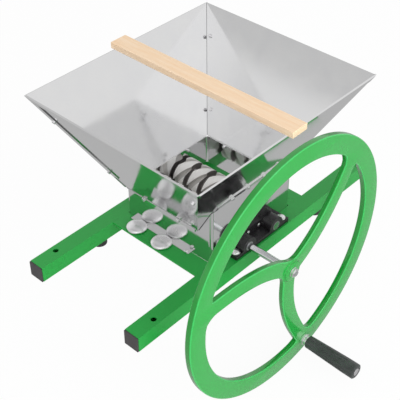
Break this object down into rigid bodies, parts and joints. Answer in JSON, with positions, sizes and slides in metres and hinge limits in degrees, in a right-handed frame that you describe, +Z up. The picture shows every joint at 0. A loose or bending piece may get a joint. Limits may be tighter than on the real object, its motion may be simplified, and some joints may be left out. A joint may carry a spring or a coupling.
{
  "type": "fruit crusher",
  "caption": "Hand-cranked fruit crusher: sheet hopper over two geared toothed rollers on a tube frame, turned by a spoked flywheel with a handle.",
  "frame": {"origin": "centre of the four mounting holes of the rails, on the rails' underside", "axes": "+X along the roller shafts towards the flywheel, +Y along the rails, +Z up out of the hopper"},
  "size_m": [0.5463, 0.6162, 0.5026],
  "materials": {
    "frame_paint": "gloss enamel",
    "wheel_paint": "gloss enamel",
    "polished_sheet": "mirror polished stainless sheet",
    "zinc_fastener": "bright plated",
    "roller_casting": "cast and machined",
    "shaft_steel": "ground bright",
    "gear_steel": "machined and greased",
    "black_casting": "black paint",
    "black_rubber": "moulded",
    "plug_plastic": "moulded",
    "grip_plastic": "moulded, satin",
    "bush_steel": "turned",
    "beech": "planed"
  },
  "bodies": {
    "frame": {"rail_left": "frame_paint", "rail_right": "frame_paint", "crossbar_front": "frame_paint", "crossbar_rear": "frame_paint", "rail_plugs": "plug_plastic", "rubber_feet": "black_rubber", "foot_screws": "zinc_fastener", "crusher_box": "polished_sheet", "gear_partition": "polished_sheet", "hopper_front": "polished_sheet", "hopper_back": "polished_sheet", "hopper_left": "polished_sheet", "hopper_right": "polished_sheet", "corner_bolts": "zinc_fastener", "skirt_bolts": "zinc_fastener", "seam_bolts": "zinc_fastener", "bracket_left": "black_casting", "bracket_right": "black_casting", "bracket_bolts": "zinc_fastener", "wall_screws": "zinc_fastener", "shaft_bushes": "bush_steel", "clamp_buttons": "zinc_fastener", "tab_bolts": "zinc_fastener"},
    "crank": {"crank_shaft": "shaft_steel", "front_roller": "roller_casting", "front_roller_pin": "zinc_fastener", "drive_gear": "gear_steel", "crank_keys": "gear_steel", "flywheel": "wheel_paint", "hub_washer": "zinc_fastener", "hub_nut": "zinc_fastener", "handle_spindle": "zinc_fastener", "handle_collars": "zinc_fastener", "handle_nut": "zinc_fastener"},
    "grip": {"handle_grip": "grip_plastic"},
    "idler": {"idler_shaft": "shaft_steel", "rear_roller": "roller_casting", "rear_roller_pin": "zinc_fastener", "driven_gear": "gear_steel", "idler_key": "gear_steel"},
    "pusher": {"pusher_bar": "beech"}
  },
  "joints": [
    {"name": "crank_turn", "type": "hinge", "parent": "frame", "child": "crank", "pos_m": [0, -0.036, 0.041], "axis": [1, 0, 0], "continuous": true},
    {"name": "idler_turn", "type": "hinge", "parent": "frame", "child": "idler", "pos_m": [0, 0.036, 0.041], "axis": [1, 0, 0], "continuous": true},
    {"name": "grip_spin", "type": "hinge", "parent": "crank", "child": "grip", "pos_m": [0.277, 0.02029, -0.16909], "axis": [1, 0, 0], "continuous": true},
    {"name": "pusher_lift", "type": "slide", "parent": "frame", "child": "pusher", "axis": [0, 0, 1], "range_m": [0, 0.1]}
  ],
  "couplings": [
    {"joint": "idler_turn", "follows": "crank_turn", "ratio": -1}
  ]
}
